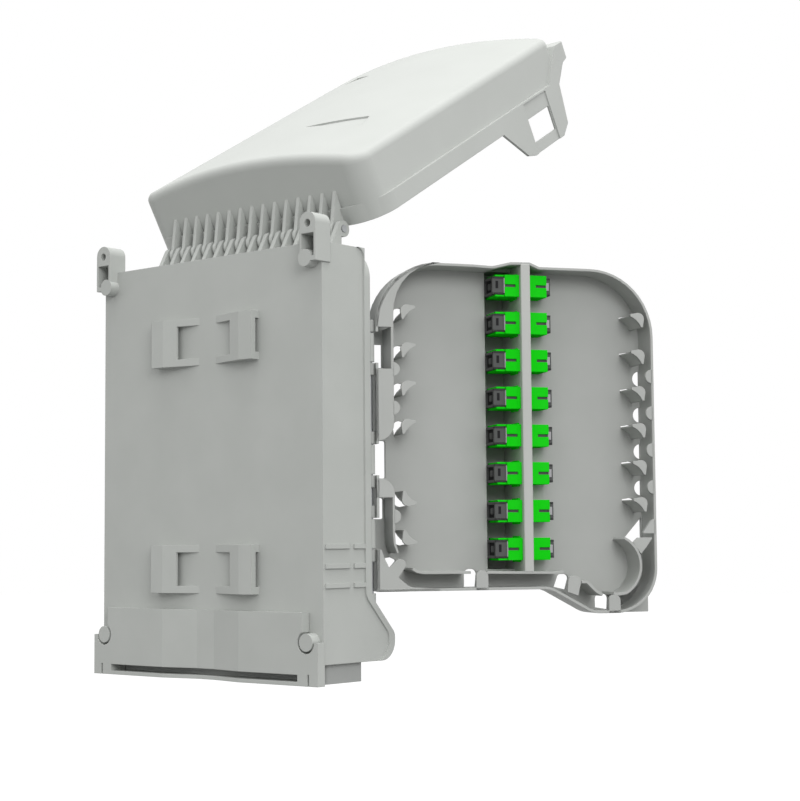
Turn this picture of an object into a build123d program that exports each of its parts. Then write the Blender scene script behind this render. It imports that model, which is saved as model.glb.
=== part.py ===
"""Fibre wall box: housing, top-hinged lid and swing-out adapter tray.

Millimetres. X is to the right as seen from the front, Z is up, the wall is the plane
Y = 0 and the front faces -Y. Z = 0 is the height of the two wall screws. The lid stands
open and the tray is swung out; both are drawn in their closed place and then turned.
"""
from build123d import *
import os

os.makedirs("parts", exist_ok=True)

# Housing
half = 66.0              # half the outside width
box_top = -7.0
box_h = 170.0
standoff = 4.6           # wall plane to the rear plate
wall = 1.5
rim_y = -33.3            # front edge of the housing
rim_band = 3.6           # width of the raised strip along the front edge
rim_raise = 0.8
top_r = 4.0              # upper front corner
front_corner_r = 12.0    # corner of the front edge beside the hinge
front_corner_d = 3.2
ramp_top = -150.5        # where the lower end starts to stand forward
ramp_low = -166.0
ramp_out = 14.4
ramp_r = 7.0
ramp_low_r = 4.0
foot_r = 8.0

# Wall fixings
ear_x = 62.4
ear_w = 8.7
ear_rise = 11.7          # above the housing's top
ear_h = 20.1
ear_depth = 9.1
screw_r = 1.6
pocket_w = 6.8
pocket_h = 9.4
pocket_rise = -1.8       # its middle, from the housing's top
boss_x = 60.6
boss_r = 3.6
boss_top_z = -14.0
boss_low_z = -168.0

# Pole strap brackets
strap_zs = (-42.4, -139.3)
strap_h = 20.4
strap_rail = 3.1
strap_out = 30.3         # outer end of a bracket
strap_bar = 16.2         # inner edge of its bridge
vee_out = 23.0           # where the slope of the V starts
vee_in = 5.0
strap_gap = 1.8          # way of the band under the bridge

# Rear skirt, the cradle clipped on below the brackets
skirt_x = 58.4
skirt_h = 29.0
skirt_drop = 8.2         # below the housing
skirt_t = 4.0            # of the part below the housing
skirt_floor = 1.0        # left behind the V
slot_x = 56.0
slot_h = 2.8
slot_up = 3.0            # its middle, from the lower edge
clip_out = 67.0
clip_h = 17.2
clip_t = 4.3
clip_gap = 0.9
slit_x = 61.9
slit_w = 0.9
slit_h = 4.6
seat = 0.1               # gap between pieces that lie on each other

# Side ribs
rib_zs = (-130.1, -138.0, -145.8)
rib_t = 1.9
rib_raise = 0.8
rib_back = -5.6
rib_notch = -20.2        # a notch splits each rib
notch_w = 2.6
rib_front = -29.6

# Lid
pin_y = -32.0
pin_z = 3.0
pin_r = 1.5
running = 0.05           # radial clearance of a pin
barrel_r = 3.5
fin_pitch = 7.0
fin_t = 1.8              # lid fins
box_fin_t = 2.2
lid_fins = 15
lid_fin_middle = 0.0
gusset = 15.0            # reach of a lid fin over the near wall
lid_open = 120.3
lid_gap = 0.25           # beside the housing's raised strip
lid_t = 1.4
lid_near = -3.0          # outside of the wall beside the hinge
lid_far = -176.0         # end of the finger lip
face_far = -167.5        # end of the face above the lip
lid_corner = 15.0
lip_corner = 2.5
lid_rim_y = -31.2
band_w = 7.8
band_step = 1.6          # the wall above the band lies this far in
lip_front = -54.0
face_y = -59.0           # at the side edges
crown = 7.5              # rise of the face in the middle
face_r = 4.0
face_near_r = 9.0
face_far_r = 6.0
tab_y = -13.8            # rear edge of the latch tabs
window_top = -128.2
window_low = -147.8
window_back = -19.0
window_front = -30.6
tongue_more = 0.5        # the sunk tongue is this much wider than its window at each side
tongue_sink = 0.6
recess_t = 0.8
gasket_w = 1.2
gasket_t = 1.0

# Tray
axis_x = -64.4
axis_y = -35.5
tray_open = 123.5
edge_a = 0.8             # tray's edge, from the axis
rim_over = 3.0           # tray's rim in front of the axis
tray_w = 125.5
tray_top = -11.4
tray_low = -149.0
tray_d = 25.0
tray_t = 1.6
tray_left_r = 21.0
tray_right_r = 26.0
toe_a = 96.0             # lower toe on the free side
toe_drop = 10.6
toe_ramp = 20.0
toe_r = 20.0
toe_foot_r = 12.0
flange_w = 7.6
flange_t = 1.8
channel = 7.8            # cable way along the lower edge
channel_from = 14.0
channel_to = 99.0
flanges = ((-11.4, -86.5), (-102.5, -110.7))     # upper and lower ends of each stretch
guards = ((-39.5, -56.3), (-110.7, -132.0))
knuckle_r = 2.0
knuckle_h = 5.0
tray_pin_r = 1.1
lug_zs = (-47.9, -94.5, -125.0)
lug_h = 12.0
lug_gap = 0.5
low_lug_h = 6.0
finger_h = 5.5
left_fingers = (-33.0, -48.5, -64.0, -79.5, -111.0, -126.5)
left_turn = -100.0       # fingers below this height are turned over
right_fingers = (-30.0, -46.0, -62.0, -78.0, -94.0, -110.0)
left_nubs = (-57.0, -73.0, -118.0)
right_nubs = (-58.0, -73.6, -89.5, -105.7)
tab_places = ((45.6, 0.0), (86.6, 5.8), (104.6, 10.6))   # across, and below the lower edge
tab_w = 5.4
nub_r = 2.0

# Adapters
ports = 8
pitch = 16.0
first_z = -19.9
adapter_h = 9.4
adapter_d = 13.0
shell_len = 19.0
end_len = 2.0            # inner housing showing at each end
end_h = 7.4
end_d = 11.0
port_h = 5.0
port_d = 7.6
port_deep = 7.0
key_w = 1.2
key_len = 4.6
key_deep = 0.5
stop_w = 0.8
adapter_a = 66.2
adapter_back = 1.9       # near face behind the tray's rim
panel_t = 4.2
fit = 0.1

# Inside the housing
cassette_w = 104.0
cassette_h = 96.0
cassette_z = -74.0
cassette_d = 4.8
cassette_t = 1.2
cassette_r = 16.0
spool_x = 26.0
spool_r = 12.0
peg_r = 2.0
cover_t = 0.9
sleeve_r = 1.2
sleeve_len = 40.0
sleeve_pitch = 3.4
sleeves = 8
comb_up = 21.0           # middle of the sleeves above the cassette's
seal_h = 7.9
seal_inset = 2.2
seal_front = -30.6
entry_r = 6.0
entry_pitch = 19.0
gland_rs = (5.0, 3.5, 3.5, 3.5, 3.5, 5.0)
entry_y = -19.6
clamp_z = -168.0
clamp_h = 9.0
clamp_t = 2.4
clamp_x = 47.5
post_h = 7.6
clamp_screw_r = 1.5
head_r = 2.9
head_h = 1.8

box_bottom = box_top - box_h
plate_y = -standoff
deck_y = plate_y - wall
inner = half - wall
ramp_y = rim_y - ramp_out
skirt_low = box_bottom - skirt_drop
skirt_back = plate_y + seat
lid_in = half + rim_raise + lid_gap
lid_out = lid_in + lid_t
face_out = lid_out - band_step
tray_rim = axis_y - rim_over
tray_back = tray_rim + tray_d
tray_x = axis_x + edge_a
toe_low = tray_low - toe_drop
cassette_front = deck_y - seat - cassette_d
post_y = deck_y - post_h

lid_hinge = Axis((0, pin_y, pin_z), (1, 0, 0))
tray_hinge = Axis((axis_x, axis_y, 0), (0, 0, 1))
lid_fin_xs = [lid_fin_middle + (k - (lid_fins - 1) / 2) * fin_pitch for k in range(lid_fins)]
box_fin_xs = [lid_fin_xs[0] - fin_pitch / 2 + k * fin_pitch for k in range(lid_fins + 1)]
entry_xs = [(k - (len(gland_rs) - 1) / 2) * entry_pitch for k in range(len(gland_rs))]


def facing(y):
    """Drawing plane at this Y, seen from the front: X right and Z up, extruding forward."""
    return Plane(origin=(0, y, 0), x_dir=(1, 0, 0), z_dir=(0, -1, 0))


def across(x):
    """Drawing plane at this X with Y and Z, extruding to the right."""
    return Plane(origin=(x, 0, 0), x_dir=(0, 1, 0), z_dir=(1, 0, 0))


def round_corner(sketch, at, radius):
    """Round the sketch's vertex that lies at this place."""
    fillet(sketch.vertices().sort_by_distance((at[0], at[1], 0))[0], radius)


def housing_side(back):
    """Side profile of the housing, drawn in Y and Z, its straight rear edge at Y = back."""
    with BuildSketch() as side:
        with BuildLine():
            Polyline((back, box_bottom), (back, box_top), (rim_y, box_top), (rim_y, ramp_top),
                     (ramp_y, ramp_low), (ramp_y, box_bottom), (back, box_bottom))
        make_face()
        round_corner(side, (rim_y, box_top), top_r)
        round_corner(side, (rim_y, ramp_top), ramp_r)
        round_corner(side, (ramp_y, box_bottom), foot_r)
        round_corner(side, (ramp_y, ramp_low), ramp_low_r)
    return side.sketch


def tray_outline(inset):
    """Outline of the tray in X and Z, drawn this far inside its outer face."""
    with BuildSketch() as outline:
        with BuildLine():
            Polyline((tray_x, tray_low), (tray_x, tray_top), (tray_x + tray_w, tray_top),
                     (tray_x + tray_w, toe_low), (tray_x + toe_a, toe_low),
                     (tray_x + toe_a - toe_ramp, tray_low), (tray_x, tray_low))
        make_face()
        round_corner(outline, (tray_x, tray_top), tray_left_r)
        round_corner(outline, (tray_x + tray_w, tray_top), tray_right_r)
        round_corner(outline, (tray_x + tray_w, toe_low), toe_r)
        round_corner(outline, (tray_x + toe_a, toe_low), toe_foot_r)
        round_corner(outline, (tray_x + toe_a - toe_ramp, tray_low), toe_foot_r)
        if inset:
            offset(amount=-inset)
    return outline.sketch


def lid_outline(width, near, far, near_r, far_r):
    """Outline of a tier of the lid in X and Z, with its own radius at each end."""
    with BuildSketch() as outline:
        with Locations((0, (near + far) / 2)):
            Rectangle(2 * width, near - far)
        fillet(outline.vertices().group_by(Axis.Y)[-1], near_r)
        fillet(outline.vertices().group_by(Axis.Y)[0], far_r)
    return outline.sketch


with BuildPart() as base_housing:
    with BuildSketch(across(-half)):
        add(housing_side(plate_y))
    extrude(amount=2 * half)
    # raised strip along the front edge
    with BuildSketch(across(-half - rim_raise)):
        add(housing_side(plate_y))
        with Locations((rim_band, 0)):
            add(housing_side(plate_y), mode=Mode.SUBTRACT)
    extrude(amount=2 * (half + rim_raise))
    # front corners beside the hinge, so that they pass inside the lid's
    with BuildSketch(facing(rim_y + front_corner_d)):
        with Locations((0, (box_top + box_bottom) / 2)):
            Rectangle(2 * half + 4, box_h + 4)
        add(lid_outline(half + rim_raise, box_top, box_bottom - 10, front_corner_r, 1.0),
            mode=Mode.SUBTRACT)
    extrude(amount=front_corner_d + 1, mode=Mode.SUBTRACT)
    # hollow, open to the front
    with BuildSketch(facing(deck_y)):
        with Locations((0, (box_top + box_bottom) / 2)):
            RectangleRounded(2 * inner, box_h - 2 * wall, front_corner_r - wall)
    extrude(amount=80, mode=Mode.SUBTRACT)
    # ears
    with BuildSketch(facing(-ear_depth)):
        for x in (ear_x, -ear_x):
            with Locations((x, box_top + ear_rise - ear_w / 2)):
                Circle(ear_w / 2)
            with Locations((x, box_top + ear_rise - (ear_h + ear_w / 2) / 2)):
                Rectangle(ear_w, ear_h - ear_w / 2)
    extrude(amount=-ear_depth)
    with BuildSketch(facing(0)):
        with Locations((ear_x, box_top + pocket_rise), (-ear_x, box_top + pocket_rise)):
            Rectangle(pocket_w, pocket_h)
    extrude(amount=ear_depth - wall, mode=Mode.SUBTRACT)
    with BuildSketch(facing(0)):
        with Locations((ear_x, 0), (-ear_x, 0)):
            Circle(screw_r)
    extrude(amount=ear_depth, mode=Mode.SUBTRACT)
    # stand-off bosses
    with BuildSketch(facing(0)):
        with Locations((boss_x, boss_top_z), (-boss_x, boss_top_z),
                       (boss_x, boss_low_z), (-boss_x, boss_low_z)):
            Circle(boss_r)
    extrude(amount=standoff + wall / 2)
    # strap brackets: a sloped rail above and below, bridged at both outer ends
    for z in strap_zs:
        with BuildSketch(Plane.XY.offset(z - strap_h / 2)):
            with BuildLine():
                Polyline((strap_out, plate_y - wall / 2), (strap_out, 0), (vee_out, 0),
                         (vee_in, plate_y), (vee_in, plate_y - wall / 2),
                         (strap_out, plate_y - wall / 2))
            make_face()
            mirror(about=Plane.YZ)
        extrude(amount=strap_h)
    with BuildSketch(facing(0)):
        with Locations(*[(0, z) for z in strap_zs]):
            Rectangle(2 * strap_bar, strap_h - 2 * strap_rail)
    extrude(amount=standoff, mode=Mode.SUBTRACT)
    with BuildSketch(facing(plate_y + strap_gap)):
        with Locations(*[(0, z) for z in strap_zs]):
            Rectangle(2 * strap_out + 4, strap_h - 2 * strap_rail)
    extrude(amount=strap_gap, mode=Mode.SUBTRACT)
    # side ribs, with a notch
    with BuildSketch(across(-half - rib_raise)):
        with Locations(*[((rib_back + rib_front) / 2, z) for z in rib_zs]):
            Rectangle(rib_back - rib_front, rib_t)
        with Locations((rib_notch - notch_w / 2, rib_zs[1])):
            Rectangle(notch_w, rib_zs[0] - rib_zs[2] + 2 * rib_t, mode=Mode.SUBTRACT)
    extrude(amount=wall)
    with BuildSketch(across(half + rib_raise - wall)):
        with Locations(*[((rib_back + rib_front) / 2, z) for z in rib_zs]):
            Rectangle(rib_back - rib_front, rib_t)
        with Locations((rib_notch - notch_w / 2, rib_zs[1])):
            Rectangle(notch_w, rib_zs[0] - rib_zs[2] + 2 * rib_t, mode=Mode.SUBTRACT)
    extrude(amount=wall)
    # fins that carry the lid's pin
    for x in box_fin_xs:
        with BuildSketch(across(x - box_fin_t / 2)):
            with BuildLine():
                Polyline((pin_y + 9.5, box_top - wall / 2), (pin_y + barrel_r - 0.4, pin_z + 1.6),
                         (pin_y, pin_z), (pin_y + 1.4, pin_z - barrel_r + 0.4),
                         (lid_rim_y + 0.6, box_top - wall / 2), (pin_y + 9.5, box_top - wall / 2))
            make_face()
            with Locations((pin_y, pin_z)):
                Circle(barrel_r)
        extrude(amount=box_fin_t)
    with BuildSketch(across(-half)):
        with Locations((pin_y, pin_z)):
            Circle(pin_r + running)
    extrude(amount=2 * half, mode=Mode.SUBTRACT)
    # lugs that carry the tray's pin
    for z, h in [(z, lug_h) for z in lug_zs] + [(tray_low - lug_gap - low_lug_h / 2, low_lug_h)]:
        with BuildSketch(Plane.XY.offset(z - h / 2)):
            with Locations((axis_x, axis_y)):
                Circle(knuckle_r)
            with BuildLine():
                Polyline((-half, rim_y + wall), (-half, axis_y), (axis_x, axis_y),
                         (-inner, rim_y), (-inner, rim_y + wall), (-half, rim_y + wall))
            make_face()
        extrude(amount=h)
    with BuildSketch(Plane.XY.offset(tray_low - 20)):
        with Locations((axis_x, axis_y)):
            Circle(tray_pin_r + running)
    extrude(amount=tray_top - tray_low, mode=Mode.SUBTRACT)
    # cable entries through the bottom wall
    with BuildSketch(Plane.XY.offset(box_bottom - 1)):
        with Locations(*[(x, entry_y) for x in entry_xs]):
            Circle(entry_r)
    extrude(amount=wall + 2, mode=Mode.SUBTRACT)
    # posts for the cable clamp and pegs for the cassette
    with BuildSketch(facing(deck_y + wall / 2)):
        with Locations((clamp_x, clamp_z), (-clamp_x, clamp_z)):
            Circle(clamp_h / 2)
    extrude(amount=post_h + wall / 2)
    with BuildSketch(facing(deck_y)):
        with Locations((clamp_x, clamp_z), (-clamp_x, clamp_z)):
            Circle(clamp_screw_r + running)
    extrude(amount=post_h, mode=Mode.SUBTRACT)
    with BuildSketch(facing(deck_y + wall / 2)):
        with Locations((0, cassette_z + cassette_h / 2 - 8), (0, cassette_z - cassette_h / 2 + 8)):
            Circle(peg_r)
    extrude(amount=wall / 2 + cassette_t + 1)
base_housing.part.label = "base_housing"
export_step(base_housing.part, "parts/base_housing.step")

with BuildPart() as rear_skirt:
    # block with a V cradle, stepping under the housing, and the two clips beside it
    with BuildSketch(Plane.XY.offset(skirt_low)):
        with BuildLine():
            Polyline((0, skirt_back - skirt_t), (skirt_x, skirt_back - skirt_t), (skirt_x, 0),
                     (vee_out, 0), (vee_in, skirt_back + skirt_floor),
                     (0, skirt_back + skirt_floor), (0, skirt_back - skirt_t))
        make_face()
        mirror(about=Plane.YZ)
    extrude(amount=skirt_h)
    with BuildSketch(facing(skirt_back)):
        with Locations((0, box_bottom - seat + skirt_h)):
            Rectangle(4 * skirt_x, 2 * skirt_h)
    extrude(amount=2 * skirt_t, mode=Mode.SUBTRACT)
    with BuildSketch(facing(0)):
        for x in (skirt_x - 1, -skirt_x + 1):
            with Locations((x + (clip_out - skirt_x + 1) / 2 * (1 if x > 0 else -1),
                            skirt_low + clip_h / 2)):
                Rectangle(clip_out - skirt_x + 1, clip_h)
    extrude(amount=clip_t)
    with BuildSketch(facing(0)):
        with Locations((boss_x, boss_low_z), (-boss_x, boss_low_z)):
            Circle(boss_r + clip_gap)
        with Locations((0, skirt_low + slot_up)):
            Rectangle(2 * slot_x, slot_h)
        with Locations((slit_x, skirt_low + slit_h / 2), (-slit_x, skirt_low + slit_h / 2)):
            Rectangle(slit_w, slit_h)
    extrude(amount=standoff + skirt_t, mode=Mode.SUBTRACT)
rear_skirt.part.label = "rear_skirt"
export_step(rear_skirt.part, "parts/rear_skirt.step")

with BuildPart() as cable_seal:
    seal_back = skirt_back - skirt_t - seat
    with BuildSketch(Plane.XY.offset(box_bottom - seal_h)):
        with Locations((0, (seal_back + seal_front) / 2)):
            RectangleRounded(2 * (half - seal_inset), seal_back - seal_front, 1.5)
    extrude(amount=seal_h - seat)
    with BuildSketch(Plane.XY.offset(box_bottom - seal_h / 2)):
        with Locations(*[(x, entry_y) for x in entry_xs]):
            Circle(entry_r - fit)
    extrude(amount=seal_h / 2 + wall)
    with BuildSketch(Plane.XY.offset(box_bottom - seal_h)):
        for x, r in zip(entry_xs, gland_rs):
            with Locations((x, entry_y)):
                Circle(r)
    extrude(amount=seal_h + wall, mode=Mode.SUBTRACT)
cable_seal.part.label = "cable_seal"
export_step(cable_seal.part, "parts/cable_seal.step")

# Rim of the lid's sides, from the hinge to the lip, with the latch tab between
rim_line = [(lid_rim_y, lid_near + 5), (lid_rim_y, -105.8), (-15.6, -119.8), (tab_y, -125.4),
            (tab_y, -152.2), (-18.1, -158.6), (-36.8, -161.5), (-44.8, -169.9),
            (-46.4, lid_far), (-46.4, lid_far - 5)]
band_y = lid_rim_y - band_w


def lower_tier(t):
    """Solid of the lid's band and lip, drawn t inside its outer faces."""
    with BuildPart() as tier:
        with BuildSketch(facing(0)):
            add(lid_outline(lid_out - t, lid_near - t, lid_far + t, lid_corner - t,
                            lip_corner - t))
        extrude(amount=-lip_front)
        with BuildSketch(across(-lid_out)):
            with BuildLine():
                Polyline((0, 0), (band_y + t, 0), (band_y + t, face_far + ramp_out),
                         (lip_front + t, face_far), (lip_front + t, lid_far), (0, lid_far),
                         (0, 0))
            make_face()
        extrude(amount=2 * lid_out, mode=Mode.INTERSECT)
    return tier.part


def upper_tier(t):
    """Solid of the lid above its band, drawn t inside its outer faces."""
    with BuildPart() as tier:
        with BuildSketch(facing(lid_rim_y)):
            add(lid_outline(face_out - t, lid_near - band_step - t, face_far + t,
                            face_near_r - t, face_far_r - t))
        extrude(amount=lid_rim_y - face_y + crown + 2)
        with BuildSketch(Plane.XY.offset(lid_far)):
            with BuildLine():
                ThreePointArc((-face_out, face_y + t), (0, face_y - crown + t),
                              (face_out, face_y + t))
                Polyline((face_out, face_y + t), (face_out, lid_rim_y),
                         (-face_out, lid_rim_y), (-face_out, face_y + t))
            make_face()
        extrude(amount=lid_near - lid_far, mode=Mode.INTERSECT)
        fillet(tier.edges().filter_by(lambda e: e.center().Y < face_y + t + 1), face_r - t)
    return tier.part


with BuildPart() as lid_closed:
    add(lower_tier(0))
    add(upper_tier(0))
    add(lower_tier(lid_t), mode=Mode.SUBTRACT)
    add(upper_tier(lid_t), mode=Mode.SUBTRACT)
    # rim line with the latch tabs
    with BuildSketch(across(-lid_out)):
        with BuildLine():
            Polyline(*rim_line, (face_y - crown, lid_far - 5), (face_y - crown, lid_near + 5),
                     rim_line[0])
        make_face()
    extrude(amount=2 * lid_out, mode=Mode.INTERSECT)
    # latch windows, each in a tongue that is sunk a little below the tab
    window_z = (window_top + window_low) / 2
    with BuildSketch(across(-lid_out)):
        with Locations(((window_back + window_front) / 2, window_z)):
            Rectangle(window_back - window_front, window_top - window_low)
    extrude(amount=2 * lid_out, mode=Mode.SUBTRACT)
    for x in (-lid_out, lid_out - tongue_sink):
        with BuildSketch(across(x)):
            with Locations(((band_y + 1 + tab_y) / 2, window_z)):
                Rectangle(tab_y - band_y - 1, window_top - window_low + 2 * tongue_more)
        extrude(amount=tongue_sink, mode=Mode.SUBTRACT)
    # arrow-shaped recesses in the face
    with BuildSketch(facing(face_y - crown)):
        with BuildLine():
            Polyline((-6, -49), (-43, -43), (-39, -55), (-6, -49))
        make_face()
        with BuildLine():
            Polyline((24, -140), (38, -148), (42, -141), (24, -140))
        make_face()
    marks = extrude(amount=-crown, mode=Mode.PRIVATE)
    add(marks - upper_tier(recess_t), mode=Mode.SUBTRACT)
    # hinge fins over the wall beside the hinge
    for x in lid_fin_xs:
        with BuildSketch(across(x - fin_t / 2)):
            with BuildLine():
                Polyline((pin_y, pin_z + barrel_r), (pin_y - gusset, lid_near - band_step - 0.2),
                         (lid_rim_y, lid_near - lid_t / 2), (pin_y + barrel_r, pin_z),
                         (pin_y, pin_z + barrel_r))
            make_face()
            with Locations((pin_y, pin_z)):
                Circle(barrel_r)
        extrude(amount=fin_t)
    with BuildSketch(across(-half)):
        with Locations((pin_y, pin_z)):
            Circle(pin_r + running)
    extrude(amount=2 * half, mode=Mode.SUBTRACT)

with BuildPart() as lid:
    add(lid_closed.part.rotate(lid_hinge, -lid_open))
lid.part.label = "lid"
export_step(lid.part, "parts/lid.step")

with BuildPart() as lid_gasket:
    # foam strip in the lid's near and far ends, where the housing's edge meets it
    with BuildSketch(facing(band_y + lid_t)):
        add(lid_outline(face_out - lid_t - seat, lid_near - band_step - lid_t - seat,
                        face_far + lid_t + 16, face_near_r - lid_t, face_far_r - lid_t))
        add(lid_outline(face_out - lid_t - seat - gasket_w,
                        lid_near - band_step - lid_t - seat - gasket_w,
                        face_far + lid_t + 16 + gasket_w, face_near_r - lid_t - gasket_w,
                        face_far_r - lid_t - gasket_w), mode=Mode.SUBTRACT)
    extrude(amount=gasket_t)
    add(lid_gasket.part.rotate(lid_hinge, -lid_open), mode=Mode.REPLACE)
lid_gasket.part.label = "lid_gasket"
export_step(lid_gasket.part, "parts/lid_gasket.step")

with BuildPart() as lid_hinge_pin:
    # just longer than the row of fins
    reach = box_fin_xs[-1] + box_fin_t / 2 + 0.5
    with BuildSketch(across(-reach)):
        with Locations((pin_y, pin_z)):
            Circle(pin_r)
    extrude(amount=2 * reach)
lid_hinge_pin.part.label = "lid_hinge_pin"
export_step(lid_hinge_pin.part, "parts/lid_hinge_pin.step")

def at(a, z):
    """Point this far across the tray, at this height."""
    return (tray_x + a, z)


with BuildPart() as tray_closed:
    with BuildSketch(facing(tray_back)):
        add(tray_outline(0))
        # square foot under the free lower corner
        with BuildLine():
            Polyline(at(tray_w - toe_r, toe_low), at(tray_w, toe_low), at(tray_w, toe_low + toe_r),
                     at(tray_w - toe_r, toe_low + toe_r), at(tray_w - toe_r, toe_low))
        make_face()
    extrude(amount=tray_t)
    with BuildSketch(facing(tray_back)):
        add(tray_outline(0))
        add(tray_outline(tray_t), mode=Mode.SUBTRACT)
    extrude(amount=tray_d)
    # walls inside: cable way along the lower edge, guards behind the lugs, guide at the toe
    with BuildSketch(facing(tray_back - tray_t / 2)):
        with BuildLine():
            FilletPolyline(at(channel_from, tray_low + channel),
                           at(toe_a - toe_ramp + 3, tray_low + channel),
                           at(toe_a - 3, toe_low + channel + 1), at(channel_to, toe_low + channel + 1),
                           radius=7)
        trace(line_width=tray_t)
        for top, low in guards:
            with Locations(at(flange_w - tray_t / 2, (top + low) / 2)):
                Rectangle(tray_t, top - low)
        with BuildLine():
            ThreePointArc(at(106.3, -128.1), at(117.0, -138.6), at(106.0, -152.5))
        trace(line_width=tray_t)
    extrude(amount=tray_d - tray_t / 2)
    # flange over the hinge side, in stretches, with half-round ends
    with BuildSketch(facing(tray_rim + flange_t)):
        for top, low in flanges:
            with Locations(at(flange_w / 2, (top + low) / 2)):
                Rectangle(flange_w, top - low)
        with BuildLine():
            Polyline(at(0, tray_low), at(0, tray_low + 15), at(5, tray_low + 10),
                     at(13, tray_low + 11), at(15.5, tray_low + 8), at(11, tray_low + 5),
                     at(16, tray_low), at(0, tray_low))
        make_face()
        # leaf-shaped fingers that hold the fibres on both sides
        for z in left_fingers:
            up = 1 if z > left_turn else -1
            with BuildLine():
                Polyline(at(flange_w - 1, z + up), at(12.5, z + 2.4 * up), at(17.8, z + 3 * up),
                         at(14.6, z - 0.6 * up), at(12.2, z - 3.6 * up), at(11, z - 1.2 * up),
                         at(flange_w - 1, z - 1.2 * up), at(flange_w - 1, z + up))
            make_face()
        for z in right_fingers:
            with BuildLine():
                Polyline(at(tray_w - 1, z + 2), at(119, z + 3.2), at(115, z + 2.4),
                         at(106, z + 2.8), at(110.5, z - 1.4), at(117, z - 3.8),
                         at(119.5, z - 1.4), at(tray_w - 1, z - 1), at(tray_w - 1, z + 2))
            make_face()
        for z in left_nubs:
            with Locations(at(flange_w, z)):
                Circle(nub_r)
        for z in right_nubs:
            with Locations(at(tray_w - tray_t, z)):
                Circle(nub_r)
        # round-topped tabs over the cable way, and the guide's hook
        for a, drop in tab_places:
            with Locations(at(a, tray_low - drop + channel / 2)):
                RectangleRounded(tab_w, channel + 2, tab_w / 2 - 0.2)
        with BuildLine():
            Polyline(at(111, -128.4), at(122, -128.4), at(116, -134), at(111, -128.4))
        make_face()
        add(tray_outline(0), mode=Mode.INTERSECT)
    extrude(amount=flange_t)
    # openings in the floor under whatever stands at the rim
    with BuildSketch(facing(tray_back)):
        for z in left_fingers:
            with Locations(at(14, z)):
                Rectangle(9, finger_h)
        for z in right_fingers[:1] + right_nubs:
            with Locations(at(tray_w - tray_t - nub_r, z)):
                RectangleRounded(2 * nub_r, 2 * nub_r + 1.6, nub_r - 0.2)
        for a, drop in tab_places:
            with Locations(at(a, tray_low - drop + channel / 2 + tray_t / 4)):
                Rectangle(tab_w, channel - tray_t - 1)
        with Locations(at(115.5, -123.5)):
            Rectangle(7, 6)
    extrude(amount=tray_t, mode=Mode.SUBTRACT)
    # room for the housing's lugs, and the tray's own knuckles beside each
    with BuildSketch(facing(axis_y + knuckle_r + 1.4)):
        for z in lug_zs:
            with Locations((axis_x, z)):
                Rectangle(2 * (knuckle_r + lug_gap + 0.4), lug_h + 2 * lug_gap)
    extrude(amount=tray_d, mode=Mode.SUBTRACT)
    for z in lug_zs:
        for low in (z + lug_h / 2 + lug_gap, z - lug_h / 2 - lug_gap - knuckle_h):
            with BuildSketch(Plane.XY.offset(low)):
                with Locations((axis_x, axis_y)):
                    Circle(knuckle_r)
            extrude(amount=knuckle_h)
    with BuildSketch(Plane.XY.offset(tray_low - 1)):
        with Locations((axis_x, axis_y)):
            Circle(tray_pin_r + running)
    extrude(amount=tray_top - tray_low, mode=Mode.SUBTRACT)


def swing(part):
    """Turn a piece of the tray from its closed place to the open one."""
    return part.rotate(tray_hinge, -tray_open)


with BuildPart() as adapter_tray:
    add(swing(tray_closed.part))
adapter_tray.part.label = "adapter_tray"
export_step(adapter_tray.part, "parts/adapter_tray.step")

adapter_x = tray_x + adapter_a
adapter_front = tray_rim + adapter_back
adapter_zs = [first_z - k * pitch for k in range(ports)]

with BuildPart() as panel_closed:
    # upright bar with a closed window for each adapter
    with BuildSketch(across(adapter_x - panel_t / 2)):
        panel_top = tray_top - tray_t - seat
        panel_low = tray_low + channel + tray_t / 2 + seat
        with Locations(((tray_rim + tray_back - tray_t - seat) / 2, (panel_top + panel_low) / 2)):
            Rectangle(tray_d - tray_t - seat, panel_top - panel_low)
        with Locations(*[(adapter_front + adapter_d / 2, z) for z in adapter_zs]):
            Rectangle(adapter_d + 2 * fit, adapter_h + 2 * fit, mode=Mode.SUBTRACT)
    extrude(amount=panel_t)
with BuildPart() as adapter_panel:
    add(swing(panel_closed.part))
adapter_panel.part.label = "adapter_panel"
export_step(adapter_panel.part, "parts/adapter_panel.step")

for n, z in enumerate(adapter_zs):
    mid_y = adapter_front + adapter_d / 2
    with BuildPart() as adapter_closed:
        with BuildSketch(across(adapter_x - shell_len / 2)):
            with Locations((mid_y, z)):
                Rectangle(adapter_d, adapter_h)
        extrude(amount=shell_len)
        # stops on both sides of the panel
        with BuildSketch(facing(mid_y + adapter_d / 4)):
            for x in (adapter_x - panel_t / 2 - fit - stop_w / 2,
                      adapter_x + panel_t / 2 + fit + stop_w / 2):
                with Locations((x, z)):
                    Rectangle(stop_w, adapter_h + 2 * stop_w)
        extrude(amount=adapter_d / 2)
        # inner housing, which shows at both ends
        with BuildSketch(across(adapter_x - shell_len / 2 - end_len)):
            with Locations((mid_y, z)):
                Rectangle(end_d, end_h)
        extrude(amount=shell_len + 2 * end_len)
        for x, turn in ((adapter_x - shell_len / 2 - end_len, 1),
                        (adapter_x + shell_len / 2 + end_len, -1)):
            with BuildSketch(across(x)):
                with Locations((mid_y, z)):
                    Rectangle(port_d, port_h)
            extrude(amount=turn * port_deep, mode=Mode.SUBTRACT)
        # key ways in the near face
        with BuildSketch(facing(adapter_front)):
            for x in (adapter_x - shell_len / 4 - panel_t / 4, adapter_x + shell_len / 4 + panel_t / 4):
                with Locations((x, z)):
                    Rectangle(key_len, key_w)
        extrude(amount=-key_deep, mode=Mode.SUBTRACT)
    with BuildPart() as adapter:
        add(swing(adapter_closed.part))
    adapter.part.label = f"adapter_{n + 1}"
    export_step(adapter.part, f"parts/adapter_{n + 1}.step")

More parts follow.
